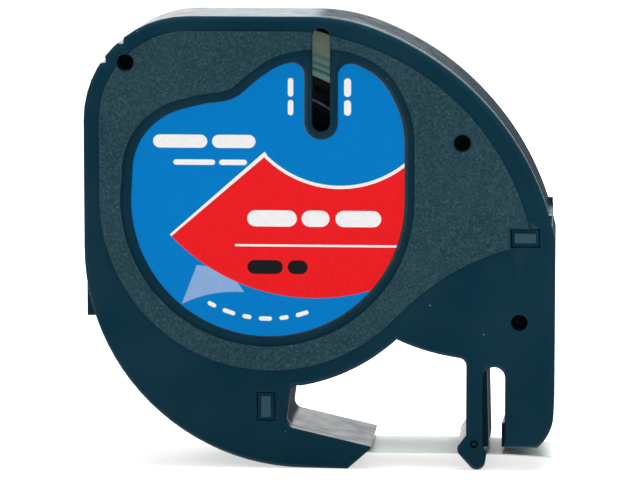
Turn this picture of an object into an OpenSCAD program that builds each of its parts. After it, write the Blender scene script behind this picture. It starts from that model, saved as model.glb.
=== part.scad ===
// Label tape cassette for a handheld label printer, standing upright.
// The sub-parts are drawn lying flat: x to the right, y up the face, z from the rear face to the front.
// stand() then tips them upright, so the front face looks along -Y and the hub axis is the Y axis.

/* [Shell] */
// Depth from the rear face to the textured front panel
body_depth = 16.5; // [16.2:0.1:18]
// Thickness of the side walls
wall_t = 0.9; // [0.7:0.05:0.9]
// Thickness of the rear floor
floor_t = 1.6; // [1.2:0.1:1.6]
// Height of the parting line above the rear face
seam_h = 14; // [13.6:0.1:14]
// Thickness of the front cover plate
cover_t = 1.35; // [1.2:0.05:1.35]
// Gap between the cover and the housing at the parting line
seam_gap = 0.05; // [0.03:0.01:0.1]

/* [Front face] */
// Height of the textured panel above the smooth border
panel_step = 0.15; // [0.1:0.05:0.2]
// Width of the smooth border beside the textured panel
border_w = 1.9; // [1.5:0.1:2.2]
// Radius of the textured ring around the label recess
panel_ring_r = 22.05; // [21:0.05:22.5]
// Depth of the smooth ledge around the label, below the border
ledge_depth = 0.2; // [0.15:0.05:0.25]
// Width of the smooth ledge, out to the edge of the panel
recess_margin = 1.25; // [0.8:0.05:1.4]
// Depth of the label pocket below the ledge
pocket_depth = 0.25; // [0.2:0.05:0.3]
// Widest gap between the label and the wall of its pocket
pocket_gap = 0.45; // [0.3:0.05:0.5]
// Thickness of the printed face label
label_t = 0.12; // [0.08:0.01:0.2]
// Radius of the round part of the label
label_r = 17.6; // [16:0.1:18]
// Half the width of the tape window
window_r = 1.15; // [0.9:0.05:1.3]
// Width of the rim around the tape window
window_rim = 1; // [0.8:0.05:1.2]

/* [Hub and spool] */
// Radius of the round recess that opens in the rear face
hub_recess_r = 12; // [8:0.5:12]
// Depth of the hub recess
hub_recess_depth = 12; // [8:0.5:12]
// Outer radius of the hub boss that carries the spool
hub_boss_r = 13.5; // [13:0.1:13.5]
// Radial running clearance between the spool and the hub boss
spool_clearance = 0.06; // [0.03:0.01:0.1]
// Outer radius of the spool core
core_r = 16.95; // [16.9:0.05:17.6]
// Number of ribs in the spool core
core_ribs = 12; // [6:1:16]
// Outer radius of the tape roll
roll_r = 22.6; // [20:0.1:22.6]
// Radius of the brake spring wire
spring_wire_r = 0.3; // [0.2:0.05:0.3]

/* [Tape] */
// Width of the label tape
tape_w = 12; // [9:0.5:12]
// Thickness of the printable film
film_t = 0.08; // [0.06:0.01:0.1]
// Thickness of the backing liner
liner_t = 0.07; // [0.05:0.01:0.08]
// Length of exposed tape past the tip of the arm
exposed_len = 23.3; // [18:0.1:24]
// Radius of the guide roller
roller_r = 1.3; // [1.1:0.05:1.3]
// Radius of the post that the guide roller turns on
roller_post_r = 0.8; // [0.6:0.05:0.8]

/* [Joining features] */
// Radius of the three locating sockets in the cover
socket_r = 1.05; // [0.9:0.05:1.05]
// Radial clearance of the locating pins in their sockets
pin_clearance = 0.05; // [0.03:0.01:0.1]

/* [Hidden] */
$fn = 96;
eps = 0.01;

// Outline of the shell, seen from the front, with the hub axis at the origin
side_x = 23.72;
top_y = 23.65;
corner_r = 13.5;
bow_c = [0.73, -12.46];
bow_r = 36.96;
top_round_r = 24;
right_x = 36.9;
leg_c = [30.9, -27.3];
leg_r = right_x - leg_c[0];
leg_bottom_y = -31.85;
slot_c = [29.2, -22.8];
slot_r = 1.4;
slot_foot = [slot_c[0] - slot_r, -31.7];
neck_x = 25.6;
neck_foot = [neck_x, -30.3];
neck_round = 1;
shoulder_c = [28.15, 7];
shoulder_r = 27.45;
drum_r = 24.45;
drum_round = 0.8;
arm_top = [3.05, -23.95];
arm_root = [2.2, -28.4];
arm_round = 1.2;
arm_tip = [13.35, -31.85];
arm_lip = [13.29, -32.2];
arm_heel_x = 10.35;
sweep_c = [4.8, -6.28];
sweep_r = sweep_c[0] + side_x;
nose_c = [25.5, -32.1];
nose_r = 1;
chin_c = [27, -33.7];
chin_r = 1.1;
chin_side = [28.3, -32.5];
head_pin_c = [26.7, -31.4];
head_hole_r = 0.5;
head_pin_r = 0.34;
head_pin_drop = 0.2;

// Levels above the rear face
plate_top = body_depth - panel_step;
plate_bottom = plate_top - cover_t;
skirt_bottom = seam_h + seam_gap;
ledge_top = plate_top - ledge_depth;
pocket_floor = ledge_top - pocket_depth;
tape_z = 2.25;
tape_mid = tape_z + tape_w / 2;
tape_top = tape_z + tape_w;
slip_t = 0.15;
slip_gap = 0.02;
boss_top = tape_top - 0.65;
spring_seat = tape_top - 2.85;

// Rings on the rear floor that carry the slip sheet
ring_inner = [13, 15];
ring_outer = [21.2, 22];

// Spool core section
core_tube_t = 1;
core_web_t = 1;
core_rib_a = 4;
core_catch_inset = 0.5;
core_catch_t = 0.9;
core_pocket_h = (tape_w - core_web_t) / 2 + 1;

// Tape path: around the roll, straight down to the guide roller, then out along the arm
tape_t = film_t + liner_t;
tape_gap = 0.02;
tape_y = -32.85;
roller_c = [1, tape_y + roller_r + tape_gap];
roller_d = norm(roller_c);
roller_bore_r = roller_post_r + 0.04;
tangent_a = atan2(roller_c[1], roller_c[0]) - acos((roll_r - roller_r) / roller_d);
strip_end_x = arm_tip[0] + exposed_len;
passage_below = 0.45;
passage_above = 0.5;
passage_from = arm_tip[0] - 4.2;
passage_len = 30;
passage_top = tape_top + 0.35;

// Wall around the roll
drum_wall_r = 22.85;
drum_wall_t = 0.75;
drum_wall_a = -104;
drum_wall_drop = 0.25;

// Brake leaf under the ceiling of the arm
leaf_t = 0.1;
leaf_gap = 0.1;
leaf_root_x = 3.7;
leaf_bend_x = 5.2;
leaf_end_x = 9;
leaf_inset = 2;
leaf_seat_gap = 0.05;
leaf_seat_t = 0.6;
arm_corner = arm_root + [0.05, -0.9];
function arm_ceiling(x) =
    let (slope = (arm_tip[1] - arm_corner[1]) / (arm_tip[0] - arm_corner[0]))
    arm_corner[1] + (x - arm_corner[0]) * slope - wall_t * sqrt(1 + slope * slope);

// Guide lugs that square off both sides of the housing
lug_step = 0.4;
lug_low_y = -16;
left_lug_h = 20;
left_lug_t = 4.5;
lug_z = 3;
lug_w = 7;

// Square corner on the right, as deep as the housing, with a thin step above it at the rear
right_lug = [36.55, -1.8];
right_lug_h = 3;
right_lug_t = 3;
rear_step = [36.5, -1.05];
rear_step_w = 1.2;

// Ribs beside the slot: the solid finger, a stiffening rib on its right side, and a wedge on the leg
finger_rib_h = 12.5;
finger_rib_past = 0.9;
finger_gap_h = 3.6;
side_rib_top = 1.2;
side_rib_x = [28.3, 28.58];
lead_rib_top_y = -29.2;
lead_rib_z = 12.6;
lead_rib_step = 0.46;
lead_rib_root = 0.4;

// Two V grooves across the rounded corner
groove_angles = [130, 144.5];
groove_side = 0.8;

// Locating sockets and latch bars that join the cover to the housing
sockets = [[-18.2, 17.7], [25, 7.6], [32.4, -15.5]];
latches = [[[-0.2, -26.75], 0], [[33.1, -4.6], 90]];
latch_window = [2.35, 3.7];
latch_bar = [1.45, 2.95];
latch_root = latch_bar + [1.1, 0.9];
latch_fill_gap = 0.12;
latch_fill_drop = 0.22;
pin_drop = 0.1;
pin_top = 12.5;
socket_boss_r = 1.5;
socket_boss_z = 12;
pad_r = 2.2;

// Textured panel: its edge along the bow, its lower ring, and the concave sweep over the leg
panel_shift = [0.12, 0.08];
panel_bow_c = [1.56, -11.08];
panel_bow_r = 33.02;
panel_ring_c = [0.36, 0];
panel_ring_x = 17.1;
panel_low_y = -14.6;
panel_sweep_c = [39.5, -35.7];
panel_sweep_r = 30.85;

window_x = 6.9;
window_low = 10.05;
window_high = 21.05;
label_side_x = 17.6;
// Crest line of the label, from its straight right side over two lobes to its left side
label_crest = [[17.6, 7.9], [16.9, 11.5], [14.7, 15.4], [11.4, 17.5], [7, 18.3], [2, 17.5],
               [-1.2, 15.6], [-4.4, 13.1], [-8.6, 12.3], [-13, 10.9], [-16.2, 7.9], [-17.5, 3.6]];
lobe_r = 1.6;

// Points along an arc from angle a0 to angle a1
function arc(c, r, a0, a1, n = 12) =
    [for (i = [0 : n]) c + r * [cos(a0 + (a1 - a0) * i / n), sin(a0 + (a1 - a0) * i / n)]];

// Angle of point p seen from c
function heading(c, p) = atan2(p[1] - c[1], p[0] - c[0]);

// Points that replace the corner at b, between a and d, with a round of radius r
function round_corner(a, b, d, r, n = 5) =
    let (u = (a - b) / norm(a - b),
         v = (d - b) / norm(d - b),
         half = acos(u * v) / 2,
         c = b + (u + v) / norm(u + v) * r / sin(half),
         a0 = heading(c, b + u * r / tan(half)),
         turn = heading(c, b + v * r / tan(half)) - a0,
         sweep = turn > 180 ? turn - 360 : turn < -180 ? turn + 360 : turn)
    arc(c, r, a0, a0 + sweep, n);

// Smooth curve through all but the end points of a list of points
function spline(p, n = 5) =
    [for (i = [1 : len(p) - 3]) for (k = [0 : n - 1])
        let (t = k / n)
        0.5 * (2 * p[i] + (p[i + 1] - p[i - 1]) * t
            + (2 * p[i - 1] - 5 * p[i] + 4 * p[i + 1] - p[i + 2]) * t * t
            + (3 * p[i] - p[i - 1] - 3 * p[i + 1] + p[i + 2]) * t * t * t)];

label_curve = spline(concat([[label_side_x, 4]], label_crest, [[-label_r, -2]]));

// Where the drum arc meets the shoulder arc, and where it meets the left wall of the opening
cusp_along = (pow(drum_r, 2) - pow(shoulder_r, 2) + pow(norm(shoulder_c), 2)) / (2 * norm(shoulder_c));
cusp_across = sqrt(pow(drum_r, 2) - pow(cusp_along, 2));
cusp_line = shoulder_c / norm(shoulder_c);
drum_cusp = cusp_along * cusp_line + cusp_across * [cusp_line[1], -cusp_line[0]];
drum_foot_a = -80;
drum_foot = drum_r * [cos(drum_foot_a), sin(drum_foot_a)];
shoulder_end = [neck_x, shoulder_c[1] - sqrt(pow(shoulder_r, 2) - pow(neck_x - shoulder_c[0], 2))];
top_round_y = top_y - top_round_r;
top_round_x = bow_c[0] + sqrt(pow(bow_r - top_round_r, 2) - pow(top_round_y - bow_c[1], 2));
bow_start_a = heading(bow_c, [top_round_x, top_round_y]);
bow_side_y = bow_c[1] + sqrt(pow(bow_r, 2) - pow(right_x - bow_c[0], 2));
leg_corner_a = asin((leg_bottom_y - leg_c[1]) / leg_r);
arm_bottom_y = sweep_c[1] - sweep_r;

outline = concat(
    arc([corner_r - side_x, top_y - corner_r], corner_r, 180, 90),
    arc([top_round_x, top_round_y], top_round_r, 90, bow_start_a, 10),
    arc(bow_c, bow_r, bow_start_a - 2, heading(bow_c, [right_x, bow_side_y]), 34),
    arc(leg_c, leg_r, 0, leg_corner_a, 8),
    [[slot_c[0] + slot_r, leg_bottom_y]],
    arc(slot_c, slot_r, 0, 180, 16),
    [slot_foot, chin_side],
    arc(chin_c, chin_r, -10, -135, 8),
    arc(nose_c, nose_r, 225, 135, 6),
    [neck_foot],
    round_corner(neck_foot, shoulder_end, shoulder_end + [-2.5, 0.2], neck_round),
    arc(shoulder_c, shoulder_r, heading(shoulder_c, shoulder_end) - 4, heading(shoulder_c, drum_cusp), 8),
    arc([0, 0], drum_r, heading([0, 0], drum_cusp) - 2, drum_foot_a, 15),
    round_corner(drum_foot, arm_top, arm_root, drum_round),
    round_corner(arm_top, arm_corner, arm_tip, arm_round),
    [arm_tip, arm_lip],
    [[arm_heel_x, arm_bottom_y]],
    arc(sweep_c, sweep_r, -90, -180, 24));

// Tips a flat-drawn sub-part upright
module stand() {
    rotate([90, 0, 0]) children();
}

// A stadium with vertical sides, centred on x, from the centre of its lower arc to that of its upper arc
module stadium(x, low, high, r) {
    translate([x, low]) circle(r);
    translate([x, high]) circle(r);
    translate([x - r, low]) square([2 * r, high - low]);
}

// A plain ring, drawn as one turned section so its walls are true cylinders
module ring(r_in, r_out, z0, z1) {
    rotate_extrude() translate([r_in, z0]) square([r_out - r_in, z1 - z0]);
}

module outline_2d() {
    polygon(outline);
}

// Keeps the finger solid where the rest of the shell is hollow
module finger_block_2d() {
    translate([neck_x - 2, chin_c[1] - 2])
        square([slot_c[0] - neck_x + finger_rib_past, finger_rib_h + 1.7]);
}

module hollow_2d() {
    difference() {
        offset(delta = -wall_t) outline_2d();
        finger_block_2d();
    }
}

// Rim around the tape window, running up past the crest line
module window_rim_2d() {
    stadium(window_x, window_low, window_high + 5, window_r + window_rim);
}

// Round lower half and wavy crest of the label, without its cut-out for the window
module label_field_2d() {
    polygon(concat([[label_side_x, -eps]], label_curve, [[-label_r, -eps]]));
    intersection() {
        circle(label_r);
        translate([-label_r, -label_r]) square([2 * label_r, label_r]);
    }
}

module label_2d() {
    offset(r = lobe_r)
        offset(delta = -lobe_r)
            difference() {
                label_field_2d();
                window_rim_2d();
            }
}

// The label sits to the left in its pocket, so the gap shows along its right edges
module pocket_2d() {
    translate([pocket_gap / 2 - 0.03, -0.05])
        offset(delta = pocket_gap / 2) label_2d();
}

module panel_2d() {
    difference() {
        intersection() {
            translate(panel_shift) offset(delta = -border_w) outline_2d();
            union() {
                translate(panel_bow_c) circle(panel_bow_r);
                translate([-2 * side_x, -2 * side_x]) square([2 * side_x + panel_bow_c[0], 4 * side_x]);
            }
            union() {
                translate(panel_ring_c) circle(panel_ring_r);
                polygon([[-side_x, 0], [0, 0], [panel_ring_x, panel_low_y],
                         [right_x, panel_low_y], [right_x, top_y], [-side_x, top_y]]);
            }
        }
        translate(panel_sweep_c) circle(panel_sweep_r);
    }
}

module corner_grooves() {
    for (a = groove_angles)
        translate([corner_r - side_x, top_y - corner_r, tape_z])
            rotate(a)
                translate([corner_r, 0, 0])
                    rotate(45)
                        translate([-groove_side / 2, -groove_side / 2, 0])
                            cube([groove_side, groove_side, body_depth]);
}

// Straight way for the tape from the arm to the right end, between the front and rear lips
module tape_passage() {
    translate([passage_from, tape_y - tape_t - passage_below, floor_t])
        cube([passage_len, passage_below + tape_t + passage_above, passage_top - floor_t]);
}

module latch_bars(size, z0, z1) {
    for (l = latches)
        translate([l[0][0], l[0][1], z0])
            rotate(l[1])
                translate([-size[0] / 2, -size[1] / 2, 0])
                    cube([size[0], size[1], z1 - z0]);
}

module front_cover() {
    color([0.06, 0.17, 0.22])
        stand() {
            difference() {
                union() {
                    translate([0, 0, skirt_bottom])
                        linear_extrude(plate_top - skirt_bottom) outline_2d();
                    translate([0, 0, plate_top - eps])
                        linear_extrude(panel_step + eps) panel_2d();
                    for (s = sockets)
                        translate([s[0], s[1], socket_boss_z])
                            cylinder(h = plate_bottom - socket_boss_z, r = socket_boss_r);
                }
                difference() {
                    translate([0, 0, skirt_bottom - 1])
                        linear_extrude(plate_bottom - skirt_bottom + 1) hollow_2d();
                    for (s = sockets)
                        translate([s[0], s[1], 0]) cylinder(h = body_depth, r = socket_boss_r);
                }
                translate([0, 0, ledge_top])
                    linear_extrude(body_depth) offset(delta = recess_margin) label_field_2d();
                translate([0, 0, pocket_floor]) linear_extrude(body_depth) pocket_2d();
                translate([0, 0, plate_bottom - 1])
                    linear_extrude(body_depth) stadium(window_x, window_low, window_high, window_r);
                for (s = sockets)
                    translate([s[0], s[1], 0]) cylinder(h = body_depth + 1, r = socket_r);
                translate([head_pin_c[0], head_pin_c[1], 0])
                    cylinder(h = body_depth + 1, r = head_hole_r);
                latch_bars(latch_window, plate_bottom - 1, body_depth + 1);
                tape_passage();
                corner_grooves();
            }
        }
}

module hub_boss() {
    difference() {
        cylinder(h = boss_top, r = hub_boss_r);
        translate([0, 0, -1]) cylinder(h = hub_recess_depth + 1, r = hub_recess_r);
    }
}

// Solid rib of the finger that holds the tape down between its front and rear lips
module finger_rib() {
    intersection() {
        linear_extrude(seam_h) outline_2d();
        translate([neck_x - 2, tape_y + passage_above, 0])
            cube([slot_c[0] - neck_x + finger_rib_past, finger_rib_h, seam_h]);
    }
}

module side_lugs() {
    translate([-side_x - lug_step, lug_low_y, lug_z])
        cube([left_lug_t, left_lug_h, lug_w]);
    translate([right_lug[0] - right_lug_t, right_lug[1] - right_lug_h, 0])
        cube([right_lug_t, right_lug_h, seam_h]);
    translate([rear_step[0] - right_lug_t, rear_step[1] - right_lug_h, 0])
        cube([right_lug_t, right_lug_h, rear_step_w]);
}

// Rib that stiffens the right side of the finger, wider towards its foot
module side_rib() {
    root_x = slot_c[0] - slot_r - lead_rib_root;
    linear_extrude(seam_h)
        polygon([[root_x, slot_c[1] + side_rib_top], [side_rib_x[0], slot_c[1] + side_rib_top],
                 [side_rib_x[1], nose_c[1]], [root_x, nose_c[1]]]);
}

// Wedge on the inner side of the leg, proud at the front, that leads the tape past the leg
module lead_rib() {
    wall_x = slot_c[0] + slot_r;
    foot_y = tape_y + passage_above;
    translate([0, lead_rib_top_y, 0])
        rotate([90, 0, 0])
            linear_extrude(lead_rib_top_y - foot_y)
                polygon([[wall_x, floor_t], [wall_x - lead_rib_step, lead_rib_z],
                         [wall_x + lead_rib_root, lead_rib_z], [wall_x + lead_rib_root, floor_t]]);
}

// Wall around the roll, from the gap where the tape leaves it to the top wall
module drum_wall() {
    translate([0, 0, floor_t / 2])
        rotate(drum_wall_a)
            rotate_extrude(angle = 90 - drum_wall_a)
                translate([drum_wall_r, 0])
                    square([drum_wall_t, seam_h - floor_t / 2 - drum_wall_drop]);
}

// Fixed rib under the root of the brake leaf
module leaf_seat() {
    top = leaf_t + leaf_gap + leaf_seat_gap;
    translate([0, 0, floor_t - eps])
        linear_extrude(tape_top - floor_t - leaf_inset)
            polygon([[leaf_root_x, arm_ceiling(leaf_root_x) - top],
                     [leaf_bend_x, arm_ceiling(leaf_bend_x) - top],
                     [leaf_bend_x, arm_ceiling(leaf_bend_x) - top - leaf_seat_t],
                     [leaf_root_x, arm_ceiling(leaf_root_x) - top - leaf_seat_t]]);
}

module rear_housing() {
    color([0.05, 0.15, 0.2])
        stand() {
            difference() {
                union() {
                    difference() {
                        union() {
                            linear_extrude(seam_h) outline_2d();
                            side_lugs();
                            side_rib();
                            lead_rib();
                        }
                        translate([0, 0, floor_t]) linear_extrude(seam_h) hollow_2d();
                        translate([neck_x - 2, chin_c[1] - 2, floor_t])
                            cube([slot_c[0] - neck_x + 0.5, finger_gap_h, seam_h]);
                    }
                    finger_rib();
                    leaf_seat();
                    drum_wall();
                    cylinder(h = floor_t, r = hub_boss_r + 1);
                    hub_boss();
                    for (r = [ring_inner, ring_outer])
                        ring(r[0], r[1], floor_t - eps, tape_z - slip_t - 2 * slip_gap);
                    for (s = sockets)
                        translate([s[0], s[1], floor_t - eps]) {
                            cylinder(h = socket_boss_z - floor_t - seam_gap, r = pad_r);
                            cylinder(h = pin_top - floor_t, r = socket_r - pin_clearance);
                        }
                    translate([roller_c[0], roller_c[1], floor_t - eps]) {
                        cylinder(h = tape_z - floor_t - pin_drop, r = roller_post_r + 0.3);
                        cylinder(h = plate_bottom - floor_t - 2 * pin_drop, r = roller_post_r);
                    }
                    latch_bars(latch_root, floor_t - eps, seam_h);
                    latch_bars(latch_window - [latch_fill_gap, latch_fill_gap], seam_h - eps,
                               plate_top - latch_fill_drop);
                    latch_bars(latch_bar, seam_h - eps, plate_top - pin_drop);
                    translate([head_pin_c[0], head_pin_c[1], seam_h - eps])
                        cylinder(h = plate_top - seam_h - head_pin_drop, r = head_pin_r);
                }
                translate([0, 0, -1]) cylinder(h = hub_recess_depth + 1, r = hub_recess_r);
                tape_passage();
                corner_grooves();
            }
        }
}

module face_label() {
    color([0, 0.42, 0.75])
        stand()
            translate([0, 0, pocket_floor])
                linear_extrude(label_t) label_2d();
}

// Spool core: two tubes joined by a web and ribs, cut back at the front to seat the brake spring
module tape_core() {
    inner_r = hub_boss_r + spool_clearance;
    pitch_a = 360 / core_ribs;
    color([0.05, 0.06, 0.07])
        stand() {
            difference() {
                rotate_extrude()
                    polygon([[inner_r, tape_z], [core_r, tape_z], [core_r, tape_top],
                             [core_r - core_tube_t, tape_top], [core_r - core_tube_t, spring_seat],
                             [inner_r, spring_seat]]);
                for (i = [0 : core_ribs - 1], z = [tape_z - 1, tape_mid + core_web_t / 2])
                    rotate((i + 0.4) * pitch_a)
                        rotate_extrude(angle = pitch_a - core_rib_a)
                            translate([inner_r + core_tube_t, z])
                                square([core_r - inner_r - 2 * core_tube_t, core_pocket_h]);
            }
            for (i = [-1, 0])
                rotate((i + 0.4) * pitch_a - core_rib_a + core_catch_inset)
                    translate([0, 0, tape_mid])
                        rotate_extrude(angle = core_rib_a - 2 * core_catch_inset)
                            translate([core_r - core_tube_t - core_catch_t, 0])
                                square([core_catch_t + 0.2, tape_top - tape_mid - 0.2]);
        }
}

module tape_roll() {
    color([0.78, 0.77, 0.66])
        stand()
            ring(core_r + 0.01, roll_r, tape_z, tape_top);
}

// Close-wound coils that grip the hub boss, with an arm that the core's catch ribs push round
module brake_spring() {
    coil_r = hub_boss_r + spool_clearance + spring_wire_r;
    pitch = 1.85 * spring_wire_r;
    color([0.75, 0.76, 0.78])
        stand() {
            for (i = [0 : 2])
                translate([0, 0, spring_seat + 0.05 + spring_wire_r + i * pitch])
                    rotate_extrude()
                        translate([coil_r, 0]) circle(spring_wire_r, $fn = 24);
            translate([0, 0, spring_seat + 0.05 + spring_wire_r + 2 * pitch])
                rotate(-0.1 * 360 / core_ribs - core_rib_a / 2)
                    translate([coil_r, 0, 0])
                        rotate([0, 90, 0])
                            cylinder(h = 2, r = spring_wire_r, $fn = 24);
        }
}

module slip_sheet(z0) {
    stand()
        ring(hub_boss_r + 0.2, roll_r + 0.1, z0, z0 + slip_t);
}

module slip_sheet_front() {
    color([0.85, 0.9, 0.9, 0.4]) slip_sheet(tape_top + slip_gap);
}

module slip_sheet_rear() {
    color([0.85, 0.9, 0.9, 0.4]) slip_sheet(tape_z - slip_gap - slip_t);
}

// Band of tape between the roll and the guide roller, with its face on the rollers
module lead_tape() {
    function face(d) = concat(
        [(roll_r + tape_gap + d) * [cos(tangent_a), sin(tangent_a)]],
        arc(roller_c, roller_r + tape_gap + d, tangent_a, -90 - 2, 8));
    back = face(tape_t);
    color([0.86, 0.87, 0.84])
        stand()
            translate([0, 0, tape_z])
                linear_extrude(tape_w)
                    polygon(concat(face(0), [for (i = [len(back) - 1 : -1 : 0]) back[i]]));
}

// One layer of the straight tape, from just past the guide roller to the free end
module strip(y_top, t, z0, w) {
    stand()
        translate([roller_c[0], y_top - t, z0])
            cube([strip_end_x - roller_c[0], t, w]);
}

module tape_film() {
    color([0.9, 0.91, 0.88]) strip(tape_y, film_t, tape_z, tape_w);
}

module tape_liner_front() {
    color([0.85, 0.84, 0.78]) strip(tape_y - film_t, liner_t, tape_mid + 0.02, tape_w / 2 - 0.02);
}

module tape_liner_rear() {
    color([0.85, 0.84, 0.78]) strip(tape_y - film_t, liner_t, tape_z, tape_w / 2 - 0.02);
}

module guide_roller() {
    color([0.05, 0.06, 0.07])
        stand()
            translate([roller_c[0], roller_c[1], 0])
                ring(roller_bore_r, roller_r, tape_z, tape_top);
}

// Thin leaf that leans on the tape inside the arm, so the free end can't slip back
module tape_brake_leaf() {
    function face(d) = [
        [leaf_root_x, arm_ceiling(leaf_root_x) - leaf_gap - d],
        [leaf_bend_x, arm_ceiling(leaf_bend_x) - leaf_gap - d],
        [leaf_end_x - 0.4, tape_y + leaf_t + eps - d],
        [leaf_end_x, tape_y + leaf_t + eps - d]];
    low = face(leaf_t);
    color([0.75, 0.76, 0.78])
        stand()
            translate([0, 0, tape_z + leaf_inset])
                linear_extrude(tape_w - 2 * leaf_inset)
                    polygon(concat(face(0), [for (i = [3 : -1 : 0]) low[i]]));
}

front_cover();
rear_housing();
face_label();
tape_core();
tape_roll();
brake_spring();
slip_sheet_front();
slip_sheet_rear();
lead_tape();
tape_film();
tape_liner_front();
tape_liner_rear();
guide_roller();
tape_brake_leaf();
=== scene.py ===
"""Looks of a label tape cassette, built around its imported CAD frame.

Plane points are (u, v) in millimetres: u to the right and v up the front face, from the hub axis.
Depth w is the height above the rear face. In the row frame such a point is (u, -w, v).
"""

import math
import random

import bmesh
import bpy
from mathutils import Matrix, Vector
from mathutils.geometry import delaunay_2d_cdt


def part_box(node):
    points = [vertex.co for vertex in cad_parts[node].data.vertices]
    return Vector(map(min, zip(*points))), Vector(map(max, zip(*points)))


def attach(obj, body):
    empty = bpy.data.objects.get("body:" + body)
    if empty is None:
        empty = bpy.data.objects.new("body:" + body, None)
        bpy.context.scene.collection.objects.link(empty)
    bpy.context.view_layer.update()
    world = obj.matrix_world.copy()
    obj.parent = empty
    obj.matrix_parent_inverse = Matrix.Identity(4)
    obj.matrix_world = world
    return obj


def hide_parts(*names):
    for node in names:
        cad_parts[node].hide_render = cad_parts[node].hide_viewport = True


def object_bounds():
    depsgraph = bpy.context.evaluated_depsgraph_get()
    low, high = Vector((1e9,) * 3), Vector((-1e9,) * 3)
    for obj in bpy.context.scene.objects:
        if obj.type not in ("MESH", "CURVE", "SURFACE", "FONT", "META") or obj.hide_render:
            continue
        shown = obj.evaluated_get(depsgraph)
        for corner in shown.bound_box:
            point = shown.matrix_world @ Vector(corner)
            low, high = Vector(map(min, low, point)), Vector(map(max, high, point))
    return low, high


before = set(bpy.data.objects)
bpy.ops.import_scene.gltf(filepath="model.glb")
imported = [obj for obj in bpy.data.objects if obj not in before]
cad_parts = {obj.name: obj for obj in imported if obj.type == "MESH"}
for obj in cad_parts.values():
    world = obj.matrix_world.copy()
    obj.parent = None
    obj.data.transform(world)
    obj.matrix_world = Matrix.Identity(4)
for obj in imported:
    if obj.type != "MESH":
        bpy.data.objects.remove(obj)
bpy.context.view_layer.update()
MM = 0.001


# ---------------------------------------------------------------- points and outlines

def at(u, v, w):
    """A point in the row frame, in metres."""
    return Vector((u, -w, v)) * MM


def plane(co):
    """The (u, v) point under a place in the row frame."""
    return Vector((co.x, co.z)) / MM


def depth(co):
    """Depth w of a place in the row frame."""
    return -co.y / MM


def near(a, b, slack=0.012):
    return abs(a - b) < slack


def arc(c, r, a0, a1, n=24):
    """Points on an arc round c, from angle a0 to a1 in degrees."""
    steps = [math.radians(a0 + (a1 - a0) * i / n) for i in range(n + 1)]
    return [(c[0] + r * math.cos(a), c[1] + r * math.sin(a)) for a in steps]


def circle_through(a, b, c):
    """Centre and radius of the circle through three points."""
    d = 2 * (a[0] * (b[1] - c[1]) + b[0] * (c[1] - a[1]) + c[0] * (a[1] - b[1]))
    sa, sb, sc = (p[0] ** 2 + p[1] ** 2 for p in (a, b, c))
    x = (sa * (b[1] - c[1]) + sb * (c[1] - a[1]) + sc * (a[1] - b[1])) / d
    y = (sa * (c[0] - b[0]) + sb * (a[0] - c[0]) + sc * (b[0] - a[0])) / d
    return (x, y), math.hypot(a[0] - x, a[1] - y)


def heading(c, p):
    """Angle in degrees at which p is seen from c."""
    return math.degrees(math.atan2(p[1] - c[1], p[0] - c[0]))


def arc_through(a, b, c, shift=0.0, n=24):
    """Points on the arc from a through b to c, drawn shift outside its circle."""
    centre, r = circle_through(a, b, c)
    a0 = heading(centre, a)
    a1 = a0 + (heading(centre, c) - a0 + 180) % 360 - 180
    return arc(centre, r + shift, a0, a1, n)


def pill(u, v, length, height, turn=0.0, n=8):
    """A bar with round ends, centred on (u, v) and turned by some degrees."""
    r = height / 2
    half = length / 2 - r
    ends = arc((half, 0), r, -90, 90, n) + arc((-half, 0), r, 90, 270, n)
    c, s = math.cos(math.radians(turn)), math.sin(math.radians(turn))
    return [(u + x * c - y * s, v + x * s + y * c) for x, y in ends]


# ---------------------------------------------------------------- meshes

def new_object(name, bm, materials, body, slot, nodes, smooth_angle=40):
    """Makes a shown piece from a bmesh: it rides on a body and stands for some CAD nodes."""
    mesh = bpy.data.meshes.new(name)
    bm.to_mesh(mesh)
    bm.free()
    mesh_object(name, mesh, materials, body, slot, nodes, smooth_angle)


def mark_sharp(mesh, limit):
    """Keeps the shading of edges that turn by more than limit crisp, on inner corners too."""
    bm = bmesh.new()
    bm.from_mesh(mesh)
    for edge in bm.edges:
        edge.smooth = len(edge.link_faces) == 2 and edge.calc_face_angle() <= limit
    bm.to_mesh(mesh)
    bm.free()


def mesh_object(name, mesh, materials, body, slot, nodes, smooth_angle=40):
    """Makes a shown piece from a mesh. Edges that turn by more than smooth_angle stay crisp."""
    for material in materials:
        mesh.materials.append(material)
    mesh.shade_smooth()
    mark_sharp(mesh, math.radians(smooth_angle))
    piece = bpy.data.objects.new(name, mesh)
    bpy.context.scene.collection.objects.link(piece)
    normals = piece.modifiers.new("flat_faces_stay_flat", "WEIGHTED_NORMAL")
    normals.keep_sharp = True
    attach(piece, body)
    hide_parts(*nodes)


def welded(node_name):
    """A bmesh of a CAD node with its split vertices joined and its flat faces made whole."""
    bm = bmesh.new()
    bm.from_mesh(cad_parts[node_name].data)
    bmesh.ops.remove_doubles(bm, verts=bm.verts, dist=0.0008 * MM)
    bmesh.ops.dissolve_degenerate(bm, dist=0.03 * MM, edges=bm.edges)
    bmesh.ops.dissolve_limit(bm, angle_limit=math.radians(0.3), verts=bm.verts, edges=bm.edges)
    bmesh.ops.recalc_face_normals(bm, faces=bm.faces)
    return bm


class EdgeFacts:
    """What decides how much an edge is rounded: its level, place and wall's low end."""

    def __init__(self, edge):
        a, b = (v.co for v in edge.verts)
        self.level = depth((a + b) / 2)
        self.place = plane((a + b) / 2)
        depths = [depth(v.co) for f in edge.link_faces if abs(f.normal.y) < 0.5 for v in f.verts]
        self.wall_low = min(depths, default=0)


def is_flat(face):
    return abs(face.normal.y) > 0.99


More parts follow.
